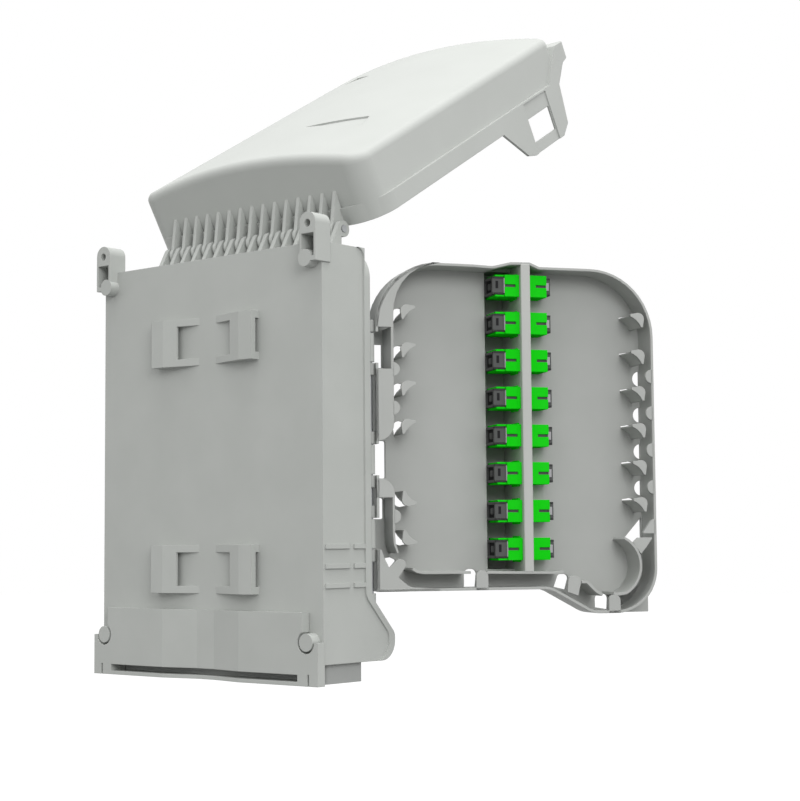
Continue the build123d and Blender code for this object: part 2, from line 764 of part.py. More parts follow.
with BuildPart() as tray_hinge_pin:
    # one long pin through the lugs and the tray's knuckles
    with BuildSketch(Plane.XY.offset(tray_low - lug_gap - low_lug_h)):
        with Locations((axis_x, axis_y)):
            Circle(tray_pin_r)
    extrude(amount=lug_zs[0] + lug_h / 2 + lug_gap + knuckle_h - tray_low + lug_gap + low_lug_h)
tray_hinge_pin.part.label = "tray_hinge_pin"
export_step(tray_hinge_pin.part, "parts/tray_hinge_pin.step")

with BuildPart() as splice_cassette:
    with BuildSketch(facing(deck_y - seat)):
        with Locations((0, cassette_z)):
            RectangleRounded(cassette_w, cassette_h, cassette_r)
    extrude(amount=cassette_d)
    with BuildSketch(facing(deck_y - seat - cassette_t)):
        with Locations((0, cassette_z)):
            RectangleRounded(cassette_w - 2 * cassette_t, cassette_h - 2 * cassette_t,
                             cassette_r - cassette_t)
    extrude(amount=cassette_d, mode=Mode.SUBTRACT)
    # two spools that keep the bend of the fibre, and the splice holder's combs
    with BuildSketch(facing(deck_y - seat - cassette_t / 2)):
        with Locations((spool_x, cassette_z - 12), (-spool_x, cassette_z - 12)):
            Circle(spool_r)
            Circle(spool_r - cassette_t, mode=Mode.SUBTRACT)
        for k in range(sleeves + 1):
            for x in (sleeve_len / 4, -sleeve_len / 4):
                with Locations((x, cassette_z + comb_up + (k - sleeves / 2) * sleeve_pitch)):
                    Rectangle(sleeve_len / 4, sleeve_pitch - 2 * sleeve_r - 2 * fit)
    extrude(amount=cassette_d - cassette_t / 2 - cover_t)
    with BuildSketch(facing(deck_y)):
        with Locations((0, cassette_z + cassette_h / 2 - 8), (0, cassette_z - cassette_h / 2 + 8)):
            Circle(peg_r + fit)
    extrude(amount=cassette_d, mode=Mode.SUBTRACT)
splice_cassette.part.label = "splice_cassette"
export_step(splice_cassette.part, "parts/splice_cassette.step")

with BuildPart() as splice_cover:
    # clear plate that drops in flush with the cassette's rim
    with BuildSketch(facing(cassette_front + cover_t)):
        with Locations((0, cassette_z)):
            RectangleRounded(cassette_w - 2 * cassette_t - 2 * fit,
                             cassette_h - 2 * cassette_t - 2 * fit, cassette_r - cassette_t - fit)
        with Locations((0, cassette_z + cassette_h / 2 - 8), (0, cassette_z - cassette_h / 2 + 8)):
            Circle(peg_r + 1, mode=Mode.SUBTRACT)
    extrude(amount=cover_t)
splice_cover.part.label = "splice_cover"
export_step(splice_cover.part, "parts/splice_cover.step")

with BuildPart() as splice_sleeves:
    # heat-shrink sleeves in the combs
    with BuildSketch(across(-sleeve_len / 2)):
        for k in range(sleeves):
            with Locations((deck_y - seat - cassette_t - sleeve_r,
                            cassette_z + comb_up + (k - (sleeves - 1) / 2) * sleeve_pitch)):
                Circle(sleeve_r)
    extrude(amount=sleeve_len)
splice_sleeves.part.label = "splice_sleeves"
export_step(splice_sleeves.part, "parts/splice_sleeves.step")

with BuildPart() as cable_clamp:
    with BuildSketch(facing(post_y)):
        with Locations((0, clamp_z)):
            SlotOverall(2 * clamp_x + clamp_h, clamp_h)
        with Locations((clamp_x, clamp_z), (-clamp_x, clamp_z)):
            Circle(clamp_screw_r + running, mode=Mode.SUBTRACT)
    extrude(amount=clamp_t)
cable_clamp.part.label = "cable_clamp"
export_step(cable_clamp.part, "parts/cable_clamp.step")

with BuildPart() as clamp_screws:
    with BuildSketch(facing(deck_y - 1)):
        with Locations((clamp_x, clamp_z), (-clamp_x, clamp_z)):
            Circle(clamp_screw_r)
    extrude(amount=post_h + clamp_t - 1)
    with BuildSketch(facing(post_y - clamp_t)):
        with Locations((clamp_x, clamp_z), (-clamp_x, clamp_z)):
            Circle(head_r)
    extrude(amount=head_h)
    with BuildSketch(facing(post_y - clamp_t - head_h)):
        with Locations((clamp_x, clamp_z), (-clamp_x, clamp_z)):
            Rectangle(2 * head_r - 1, 0.9)
            Rectangle(0.9, 2 * head_r - 1)
    extrude(amount=-1, mode=Mode.SUBTRACT)
clamp_screws.part.label = "clamp_screws"
export_step(clamp_screws.part, "parts/clamp_screws.step")
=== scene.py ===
"""Looks for the fibre wall box: camera, materials, adapters, tray, studio and lamps.

Camera and studio are in metres. The adapters and the tray are drawn in the tray's own
millimetres, as (a, d, z): a across from the hinge side, d into the tray from its rim, and z up.
IN_TRAY puts them in place.
"""
import bmesh
import bpy
from math import atan2, cos, degrees, radians, sin, tan
from mathutils import Matrix, Vector


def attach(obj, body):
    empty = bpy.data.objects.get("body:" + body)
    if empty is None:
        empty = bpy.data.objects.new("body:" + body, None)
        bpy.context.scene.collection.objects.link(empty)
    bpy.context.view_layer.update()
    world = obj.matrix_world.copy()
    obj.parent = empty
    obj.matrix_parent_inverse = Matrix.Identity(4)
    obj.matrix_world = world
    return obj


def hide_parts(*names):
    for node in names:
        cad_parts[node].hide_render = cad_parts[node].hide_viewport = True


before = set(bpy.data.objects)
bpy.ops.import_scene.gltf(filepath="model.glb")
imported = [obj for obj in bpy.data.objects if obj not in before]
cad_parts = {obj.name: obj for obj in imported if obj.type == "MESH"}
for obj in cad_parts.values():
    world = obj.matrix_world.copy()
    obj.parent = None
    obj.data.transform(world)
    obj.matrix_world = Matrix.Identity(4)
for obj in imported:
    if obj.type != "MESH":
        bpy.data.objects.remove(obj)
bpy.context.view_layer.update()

# Camera, as the photograph was taken: from behind the wall plane and to the left
CAM_AT = Vector((-0.5351, 0.5085, -0.1283))
CAM_YAW, CAM_PITCH, CAM_ROLL = 219.87, 4.63, -0.48
LENS_MM, SENSOR_MM = 78.3, 36.0
CLIP_NEAR, CLIP_FAR = 0.01, 20.0

cam = bpy.data.objects.new("camera", bpy.data.cameras.new("camera"))
bpy.context.scene.collection.objects.link(cam)
cam.data.sensor_fit = "HORIZONTAL"
cam.data.sensor_width = SENSOR_MM
cam.data.lens = LENS_MM
cam.data.clip_start, cam.data.clip_end = CLIP_NEAR, CLIP_FAR
cam.matrix_world = (Matrix.Translation(CAM_AT)
                    @ Matrix.Rotation(radians(CAM_YAW), 4, "Z")
                    @ Matrix.Rotation(radians(90 + CAM_PITCH), 4, "X")
                    @ Matrix.Rotation(radians(CAM_ROLL), 4, "Z"))
bpy.context.scene.camera = cam
bpy.context.scene.view_settings.view_transform = "Standard"

# Materials; grain and edge are lengths in metres
FLOW_SCALE, FLOW_DETAIL = 45, 4
GRAIN_DETAIL, GRAIN_STRENGTH = 2, 0.12
GLOSS_SPREAD = 0.06
EDGE_SAMPLES = 6


def plastic(name, colour, rough=0.55, grain=0.00035, mottle=0.03, edge=0.0004, shine=0.2):
    """Moulded plastic: spark-eroded grain, faint flow mottling and softened edges."""
    mat = bpy.data.materials.new(name)
    mat.use_nodes = True
    tree = mat.node_tree
    shader = tree.nodes["Principled BSDF"]
    place = tree.nodes.new("ShaderNodeTexCoord")
    flow = tree.nodes.new("ShaderNodeTexNoise")
    flow.inputs["Scale"].default_value = FLOW_SCALE
    flow.inputs["Detail"].default_value = FLOW_DETAIL
    shade = tree.nodes.new("ShaderNodeMix")
    shade.data_type = "RGBA"
    shade.inputs["A"].default_value = (*[max(c - mottle, 0) for c in colour], 1)
    shade.inputs["B"].default_value = (*[min(c + mottle, 1) for c in colour], 1)
    fine = tree.nodes.new("ShaderNodeTexNoise")
    fine.inputs["Scale"].default_value = 1 / grain
    fine.inputs["Detail"].default_value = GRAIN_DETAIL
    bump = tree.nodes.new("ShaderNodeBump")
    bump.inputs["Strength"].default_value = GRAIN_STRENGTH
    bump.inputs["Distance"].default_value = grain / 4
    gloss = tree.nodes.new("ShaderNodeMapRange")
    gloss.inputs["To Min"].default_value = rough - GLOSS_SPREAD
    gloss.inputs["To Max"].default_value = rough + GLOSS_SPREAD
    soft = tree.nodes.new("ShaderNodeBevel")
    soft.inputs["Radius"].default_value = edge
    soft.samples = EDGE_SAMPLES
    link = tree.links.new
    link(place.outputs["Object"], flow.inputs["Vector"])
    link(place.outputs["Object"], fine.inputs["Vector"])
    link(flow.outputs["Fac"], shade.inputs["Factor"])
    link(shade.outputs["Result"], shader.inputs["Base Color"])
    link(flow.outputs["Fac"], gloss.inputs["Value"])
    link(gloss.outputs["Result"], shader.inputs["Roughness"])
    link(fine.outputs["Fac"], bump.inputs["Height"])
    link(soft.outputs["Normal"], bump.inputs["Normal"])
    link(bump.outputs["Normal"], shader.inputs["Normal"])
    shader.inputs["Specular IOR Level"].default_value = shine
    return mat


def metal(name, colour, rough):
    """Plated steel: the plastic's noise, made finer, on a metallic surface."""
    mat = plastic(name, colour, rough, grain=0.0002, mottle=0.04, edge=0.0001)
    mat.node_tree.nodes["Principled BSDF"].inputs["Metallic"].default_value = 1.0
    return mat


shell = plastic("housing_plastic", (0.435, 0.45, 0.43))
white = plastic("lid_plastic", (0.46, 0.475, 0.455), mottle=0.02)
bar = plastic("panel_plastic", (0.44, 0.45, 0.43), mottle=0.02)
tray_grey = plastic("tray_plastic", (0.385, 0.395, 0.38))
rubber = plastic("seal_rubber", (0.34, 0.35, 0.34), rough=0.8, mottle=0.02)
foam = plastic("gasket_foam", (0.05, 0.05, 0.052), rough=0.95, grain=0.0006)
green = plastic("adapter_green", (0.0, 0.56, 0.0), rough=0.5, mottle=0.02, edge=0.0002, shine=0.0)
core = plastic("adapter_core", (0.075, 0.078, 0.076), rough=0.6, mottle=0.015, edge=0.0002)
# Near-black painted shade, darker than the core's plastic, for the port mouths and the core's
# window
painted_shade = plastic("adapter_painted_shade", (0.012, 0.012, 0.013), rough=0.8, mottle=0.004, edge=0.0002)
clip = plastic("adapter_clip", (0.33, 0.33, 0.34), rough=0.45, mottle=0.01, edge=0.0002)
black = plastic("clamp_plastic", (0.04, 0.04, 0.042), rough=0.5)
tray_dark = plastic("cassette_plastic", (0.07, 0.072, 0.075), rough=0.5)
cover = plastic("cover_plastic", (0.62, 0.66, 0.68), rough=0.12, mottle=0.01)
sleeve = plastic("sleeve_plastic", (0.66, 0.66, 0.63), rough=0.2)
steel = metal("plated_steel", (0.42, 0.43, 0.44), rough=0.5)

PORTS = 8
LOOKS = {
    "base_housing": shell, "rear_skirt": shell, "adapter_tray": tray_grey, "lid": white,
    "adapter_panel": bar, "cable_seal": rubber, "lid_gasket": foam, "lid_hinge_pin": steel,
    "tray_hinge_pin": steel, "clamp_screws": steel, "splice_cassette": tray_dark,
    "splice_cover": cover, "splice_sleeves": sleeve, "cable_clamp": black,
    **{f"adapter_{k + 1}": green for k in range(PORTS)},
}


def wear(node, mat):
    """Give a CAD node its material."""
    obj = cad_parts[node]
    if not obj.material_slots:
        obj.data.materials.append(mat)
    for entry in obj.material_slots:
        entry.material = mat


for node, mat in LOOKS.items():
    wear(node, mat)

# Tray's place in the photograph
AXIS_X, AXIS_Y, TRAY_OPEN = -64.4, -35.5, 123.5     # tray hinge, mm and degrees
EDGE, RIM_D = 0.8, 3.0                              # tray's corner from the hinge
IN_TRAY = (Matrix.Scale(0.001, 4) @ Matrix.Translation((AXIS_X, AXIS_Y, 0))
           @ Matrix.Rotation(radians(-TRAY_OPEN), 4, "Z") @ Matrix.Translation((EDGE, -RIM_D, 0)))

# Adapters: a green shell in two halves beside the panel, a dark core that shows at both ends,
# and clips
PITCH, TOP_PORT_Z = 16.0, -19.9
BAR_A, BAR_T = 67.7, 4.2                            # panel's middle, and its thickness
MID_A, MID_D = 68.5, 8.4                            # adapter's middle
SHELL_L, SHELL_D, SHELL_H, SHELL_T = 19.0, 13.0, 9.4, 0.8
SHELL_GAP = 0.05                                    # between shell and panel, and round the core
HINGE_REACH, FREE_REACH = 5.4, 2.0                  # how far the core stands out of the shell
SLEEVE_BACK = 1.3                                   # at the hinge side the shell ends this far in
SLEEVE_STEP = 1.0                                   # its top and bottom start below the near face
KEY_L, KEY_H = 4.9, 0.6                             # key way: length, and half its height
FLANGE_T, FLANGE_OUT, FLANGE_IN = 0.8, 0.8, 2.5
GUIDE_T, CAP_T = 1.3, 1.1                           # core's walls round the socket
SOCKET_BACK, SOCKET_D, SOCKET_H = 1.0, 1.0, 0.8
FERRULE_R, FERRULE_BACK = 1.4, 0.3
CLIP_D0, CLIP_D1 = 0.25, 0.95
WINDOW_A0, WINDOW_A1, WINDOW_LOW, WINDOW_HIGH = 2.7, 3.9, -1.2, 2.0
WINDOW_OUT, WINDOW_IN = 0.02, 0.4
GREEN, CORE, PAINTED_SHADE, CLIP = range(4)                # the piece's materials
SHELL_SOFT, NEAR_SOFT, CORE_SOFT, FERRULE_SOFT = 0.15, 0.1, 0.2, 0.5


def block(bm, low, high, mat, soft=0.0):
    """Closed block between two corners with one material, its edges softened."""
    made = bmesh.ops.create_cube(bm, size=1.0)["verts"]
    for v in made:
        v.co = Vector([low[i] + (v.co[i] + 0.5) * (high[i] - low[i]) for i in range(3)])
    faces = {f for v in made for f in v.link_faces}
    if soft:
        edges = list({e for v in made for e in v.link_edges})
        for f in faces:
            f.material_index = mat
        faces = bmesh.ops.bevel(bm, geom=edges, offset=soft, segments=2, affect="EDGES",
                                profile=0.6)["faces"]
    for f in faces:
        f.material_index = mat


def half_adapter(bm, mid_z, side):
    """What one adapter has on one side of the panel: -1 is the hinge side, 1 the free side."""
    half_d, half_h = SHELL_D / 2, SHELL_H / 2
    near, far = MID_D - half_d, MID_D + half_d
    core_d, core_h = half_d - SHELL_T - SHELL_GAP, half_h - SHELL_T - SHELL_GAP
    core_near, core_far = MID_D - core_d, MID_D + core_d
    inner, outer = BAR_T / 2 + SHELL_GAP - side * (MID_A - BAR_A), SHELL_L / 2
    reach = HINGE_REACH if side < 0 else FREE_REACH
    tip = outer + reach

    def put(a0, a1, d0, d1, z0, z1, mat, soft=0.0):
        a_low, a_high = sorted((MID_A + side * a0, MID_A + side * a1))
        block(bm, (a_low, d0, mid_z + z0), (a_high, d1, mid_z + z1), mat, soft)

    # shell: far wall, top, bottom, and a near wall with the key way at its end
    sleeve_end = outer + (reach - SLEEVE_BACK if side < 0 else 0)
    sleeve_near = near + SLEEVE_STEP
    put(inner, sleeve_end, far - SHELL_T, far, -half_h, half_h, GREEN, SHELL_SOFT)
    put(inner, sleeve_end, sleeve_near, far, half_h - SHELL_T, half_h, GREEN, SHELL_SOFT)
    put(inner, sleeve_end, sleeve_near, far, -half_h, -half_h + SHELL_T, GREEN, SHELL_SOFT)
    key_a = outer - KEY_L
    put(inner, key_a, near, near + SHELL_T, -half_h, half_h, GREEN, NEAR_SOFT)
    put(key_a - 0.2, outer, near, near + SHELL_T, KEY_H, half_h, GREEN, NEAR_SOFT)
    put(key_a - 0.2, outer, near, near + SHELL_T, -half_h, -KEY_H, GREEN, NEAR_SOFT)
    # flange against the panel
    put(inner, inner + FLANGE_T, near + FLANGE_IN, far - FLANGE_IN, -half_h - FLANGE_OUT,
        half_h + FLANGE_OUT, GREEN, SHELL_SOFT)
    # core: a block in the shell, four walls outside it, and the socket with its ferrule
    put(inner, outer - 0.3, core_near, core_far, -core_h, core_h, CORE)
    root = outer - 0.4
    put(root, tip, core_near, core_near + GUIDE_T, -core_h, core_h, CORE, CORE_SOFT)
    put(root, tip, core_far - GUIDE_T, core_far, -core_h, core_h, CORE, CORE_SOFT)
    put(root, tip, core_near, core_far, core_h - CAP_T, core_h, CORE, CORE_SOFT)
    put(root, tip, core_near, core_far, -core_h, -core_h + CAP_T, CORE, CORE_SOFT)
    # the socket's face sits only 1 mm in and is near-black: painted shade for the deep port
    put(root, tip - SOCKET_BACK, core_near + SOCKET_D, core_far - SOCKET_D, -core_h + SOCKET_H,
        core_h - SOCKET_H, PAINTED_SHADE)
    put(root, tip - FERRULE_BACK, MID_D - FERRULE_R, MID_D + FERRULE_R, -FERRULE_R, FERRULE_R,
        CORE, FERRULE_SOFT)
    # spring clip: a thin strip across the hinge side's end, a short wide one at the free side
    clip_out, clip_h = (0.35, 3.2) if side < 0 else (1.2, 1.7)
    put(outer - 0.2, outer + clip_out, near + CLIP_D0, near + CLIP_D1, -clip_h, clip_h,
        CLIP, NEAR_SOFT)
    # at the hinge side, a near-black patch on the core's near wall: painted shade for a window
    # into it
    if side < 0:
        put(outer + WINDOW_A0, outer + WINDOW_A1, core_near - WINDOW_OUT, core_near + WINDOW_IN,
            WINDOW_LOW, WINDOW_HIGH, PAINTED_SHADE)


def adapter(k):
    """The adapter in one port, counted from the top."""
    bm = bmesh.new()
    for side in (-1, 1):
        half_adapter(bm, TOP_PORT_Z - k * PITCH, side)
    bm.transform(IN_TRAY)
    piece = solid(f"adapter_{k + 1}_detail", bm)
    for mat in (green, core, painted_shade, clip):
        piece.data.materials.append(mat)
    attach(piece, "tray")
    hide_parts(f"adapter_{k + 1}")


def solid(name, bm):
    """Mesh object from closed pieces."""
    bmesh.ops.recalc_face_normals(bm, faces=bm.faces)
    mesh = bpy.data.meshes.new(name)
    bm.to_mesh(mesh)
    bm.free()
    obj = bpy.data.objects.new(name, mesh)
    bpy.context.scene.collection.objects.link(obj)
    return obj


for k in range(PORTS):
    adapter(k)

# Tray as the photo shows it: a wall along its rim, a floor with openings, and what they carry
FLOOR_D, FLOOR_T, WALL_T, LIP_T = 12.7, 1.6, 1.1, 1.6
LEFT_A, RIGHT_A = 1.1, 126.4
TOP_Z, LOW_Z, TOE_Z = -11.5, -148.9, -159.5
TOP_LEFT_R = 27.5
TOP_STEP_Z = TOP_Z - 0.2                            # the top falls a little from the corner on
LUG_GAPS = ((-41.4, -54.4), (-88.0, -101.0), (-118.5, -131.5))    # for the housing's hinge lugs
# Finger from its root: a crescent lip at the rim, and a web along its underside
UNDERSIDE = ((0.2, -5.8), (1.1, -5.6), (2.0, -4.0), (3.5, -2.5), (4.9, -1.6), (6.0, -1.1))
FINGER = ((6.0, 0), (3.8, 0.3), (2.4, 0.6), (0.9, 0.2), (0, -0.7), (-0.4, -2.0), (-0.2, -3.3),
          *UNDERSIDE)
WEB = (*UNDERSIDE, (6.0, -0.5), (4.7, -0.8), (2.9, -1.8), (1.3, -3.4), (0.3, -5.0))
FINGER_T, WEB_D0, WEB_D1 = 1.2, 0.6, FLOOR_D + 0.3
FINGER_PITCH, LEFT_ROOT_A, RIGHT_ROOT_A = 16.0, 12.3, 122.1
FINGERS = ([(LEFT_ROOT_A, 1, -30.2 - FINGER_PITCH * k, 1) for k in range(4)]
           + [(LEFT_ROOT_A, 1, z, -1) for z in (-113.3, -129.4)]
           + [(RIGHT_ROOT_A, -1, -30.7 - FINGER_PITCH * k, 1) for k in range(6)])
LEFT_NUBS, LEFT_NUB_A, LEFT_NUB_R = (-56.9, -73.0, -118.0), 8.6, 2.9
RIGHT_NUBS, RIGHT_NUB_A, RIGHT_NUB_R = [-57.8 - FINGER_PITCH * k for k in range(4)], 125.6, 3.0
NUB_CUT_A, NUB_CUT_R = 125.35, 3.3                  # openings in the floor behind the right nubs
KNUCKLE_R, KNUCKLE_BORE_R, KNUCKLE_H, KNUCKLE_SIDES = 2.0, 1.3, 5.0, 24
LEAST_MITRE = 0.3


def arc(a, z, radius, first, last, steps=14):
    """Points of an arc, its angles in degrees from the across direction."""
    turn = [radians(first + (last - first) * n / steps) for n in range(steps + 1)]
    return [(a + radius * cos(t), z + radius * sin(t)) for t in turn]


def rounded(corners, closed=True, steps=7):
    """Points of a path whose corners, given as (across, up, radius), are rounded."""
    places = [Vector(c[:2]) for c in corners]
    points = []
    for k, corner in enumerate(corners):
        radius = corner[2] if len(corner) > 2 else 0
        if not radius or (not closed and k in (0, len(corners) - 1)):
            points.append(tuple(places[k]))
            continue
        one = (places[k - 1] - places[k]).normalized()
        two = (places[(k + 1) % len(places)] - places[k]).normalized()
        half = one.angle(two) / 2
        middle = places[k] + (one + two).normalized() * radius / sin(half)
        start = places[k] + one * radius / tan(half) - middle
        end = places[k] + two * radius / tan(half) - middle
        first = atan2(start.y, start.x)
        sweep = atan2(start.x * end.y - start.y * end.x, start.dot(end))
        points += arc(*middle, radius, degrees(first), degrees(first + sweep), steps)
    return points


def box_outline(a0, a1, high, low):
    """Corners of an upright rectangle."""
    return [(a0, high), (a1, high), (a1, low), (a0, low)]


def prism(bm, points, d0, d1):
    """Closed plate with this outline between two depths."""
    rings = [[bm.verts.new((a, d, z)) for a, z in points] for d in (d0, d1)]
    bm.faces.new(rings[0])
    bm.faces.new(list(reversed(rings[1])))
    for k in range(len(points)):
        bm.faces.new((rings[0][k], rings[0][k - 1], rings[1][k - 1], rings[1][k]))


def beside(path, gap):
    """The same path, this far to its right, with the reach of sharp turns held back."""
    moved = []
    for k, here in enumerate(path):
        before = Vector(path[max(k - 1, 0)])
        after = Vector(path[min(k + 1, len(path) - 1)])
        here = Vector(here)
        one = (here - before).normalized() if k else (after - here).normalized()
        two = (after - here).normalized() if k < len(path) - 1 else one
        mean = (one + two).normalized()
        reach = gap / max(mean.dot(one), LEAST_MITRE)
        moved.append((here.x + mean.y * reach, here.y - mean.x * reach))
    return moved


def ribbon(bm, path, thick, d0=0.0, d1=FLOOR_D):
    """Upright wall with one face on the path and the other to its right."""
    prism(bm, list(path) + beside(path, thick)[::-1], d0, d1)


def at_fingers(outline):
    """The outline at each finger's root, turned as that finger is."""
    return [[(a + way * da, z + up * dz) for da, dz in outline] for a, way, z, up in FINGERS]


def finish_tray_piece(obj, mat, node, edge):
    """Put a piece from tray millimetres into place and let it stand for its node."""
    obj.data.transform(IN_TRAY)
    soften = obj.modifiers.new("soft_edges", "BEVEL")
    soften.width, soften.segments = edge, 2
    soften.limit_method, soften.angle_limit = "ANGLE", radians(50)
    obj.data.shade_smooth()
    obj.data.set_sharp_from_angle(angle=radians(35))
    obj.data.materials.append(mat)
    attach(obj, "tray")
    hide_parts(node)


# The rim, from the upper hinge lug round to the lowest one
RIM = rounded([(LEFT_A, LUG_GAPS[0][0]), (LEFT_A, TOP_Z, TOP_LEFT_R), (44, TOP_STEP_Z, 14),
               (53, -12.1, 8), (61, -10.1, 5), (69.8, -9.9, 3), (74, TOP_STEP_Z, 3),
               (RIGHT_A, TOP_STEP_Z, 29), (RIGHT_A, TOE_Z, 19), (96.5, TOE_Z, 12),
               (77, LOW_Z, 12), (LEFT_A, LOW_Z, 1.2), (LEFT_A, LUG_GAPS[2][1])],
              closed=False, steps=12)

# The adapters are deeper than the floor, so they stand in a well, wider behind the floor
WELL_A0, WELL_A1, WELL_TOP, WELL_LOW, WELL_D = 53.5, 74.0, -12.6, -140.4, 23.8
WELL_BACK_A1, WELL_EDGE = WELL_A1 + 6.6, 1.0
WELL_WALL_D0, WELL_WALL_D1 = FLOOR_D + 0.2, WELL_D + 0.4

# Openings in the floor: fingers and nubs, hinge side, hooks of the cable way, toe, and the well
OPENINGS = [
    *at_fingers(FINGER),
    *[arc(NUB_CUT_A, z, NUB_CUT_R, 90, 270) for z in RIGHT_NUBS],
    box_outline(0, 7.3, -45.4, -55.3),
    rounded([(0, -86.1), (8.5, -86.1, 0.8), (8.5, -101.9, 0.8), (0, -101.9)]),
    rounded([(0, -110.1), (7.4, -110.1, 0.8), (7.4, -118.9, 0.8), (0, -118.9)]),
    rounded([(7.6, -135.2, 0.6), (10.0, -139.6, 0.6), (13.0, -136.1, 0.6), (10.4, -134.9, 1)]),
    rounded([(42.8, -147.7), (42.8, -140.2, 2.2), (48.8, -140.2, 2.2), (48.0, -147.7)]),
    rounded([(83.5, -148.3), (85.5, -142.9, 1.5), (90.9, -142.9, 1.8), (88.9, -149.6)]),
    rounded([(102.5, -157.4), (102.5, -151.7, 2), (108.8, -151.7, 2), (108.4, -158.4)]),
    [(124.9, -118.7), (117.0, -127.4), (119.5, -129.8), (124.9, -129.8)],
    box_outline(WELL_A0, WELL_A1, WELL_TOP, WELL_LOW),
]

# Flange at the rim's hinge side, in stretches from the top; the last ends in a finger
FLANGES = [
    rounded([(LEFT_A, -39.4), (LEFT_A, TOP_Z, TOP_LEFT_R), (26, TOP_Z), (24.7, -12.7)], steps=12)
    + [(20.3, -14.0), (15.9, -16.9), (12.6, -20.6), (10.4, -24.8), (9.1, -29.5), (8.8, -34),
       (8.8, -39.4)],
    rounded([(LEFT_A, -56.8), (8.8, -56.8), (8.8, -86.9, 7.4), (LEFT_A, -86.9, 0.3)]),
    rounded([(LEFT_A, -102.3, 0.3), (8.9, -102.3, 6.5), (8.9, -110.2), (LEFT_A, -110.2)]),
    rounded([(LEFT_A, LOW_Z), (LEFT_A, -131.6), (3.0, -131.6), (4.4, -135.5, 4),
             (6.3, -139.2, 0.3), (10.3, -135.2, 2), (14.6, -136.8, 2.2), (10.2, -143.2, 0.4),
             (15.0, -147.2, 6), (28, -147.9), (28, LOW_Z)]),
]

# Hooks over the cable way, from the hinge side to the toe and up the free side
HOOKS = [
    [(44.0, LOW_Z), (44.0, -140.7, 2.5), (49.3, -140.7, 2.5), (49.3, LOW_Z)],
    [(84.8, -150.2), (85.4, -143.0, 2.4), (91.5, -144.0, 2.4), (89.6, -151.9)],
    [(103.7, TOE_Z), (103.7, -151.7, 2.5), (109.0, -151.7, 2.5), (109.0, TOE_Z)],
    [(115.4, -129.6), (117.8, -127.5), (124.6, -127.5, 0.3), (121.6, -131.5),
     (119.0, -134.5)],
    [(125.9, -119.3), (123.8, -120.4, 1), (119.9, -125.7, 0.3), (125.9, -125.8)],
]


def carved_floor():
    """Mesh of the floor: a plate up to the middle of the wall, with its openings cut out."""
    plate_bm, holes = bmesh.new(), bmesh.new()
    prism(plate_bm, beside(RIM, WALL_T / 2), FLOOR_D, FLOOR_D + FLOOR_T)
    plate = solid("floor_plate", plate_bm)
    for outline in OPENINGS:
        prism(holes, outline, FLOOR_D - 1, FLOOR_D + FLOOR_T + 1)
    cutter = solid("openings", holes)
    cut = plate.modifiers.new("openings", "BOOLEAN")
    cut.operation, cut.object, cut.solver = "DIFFERENCE", cutter, "EXACT"
    mesh = bpy.data.meshes.new_from_object(
        plate.evaluated_get(bpy.context.evaluated_depsgraph_get()))
    bpy.data.objects.remove(plate)
    bpy.data.objects.remove(cutter)
    return mesh


def knuckle(bm, low_z):
    """Tube on the hinge pin, beside one of the housing's lugs."""
    step = 360 / KNUCKLE_SIDES
    rings = [[bm.verts.new((-EDGE + r * cos(t), RIM_D + r * sin(t), low_z + up))
              for t in (radians(step * n) for n in range(KNUCKLE_SIDES))]
             for r, up in ((KNUCKLE_R, 0), (KNUCKLE_R, KNUCKLE_H),
                           (KNUCKLE_BORE_R, KNUCKLE_H), (KNUCKLE_BORE_R, 0))]
    for k in range(4):
        for n in range(KNUCKLE_SIDES):
            bm.faces.new((rings[k - 1][n - 1], rings[k - 1][n], rings[k][n], rings[k][n - 1]))


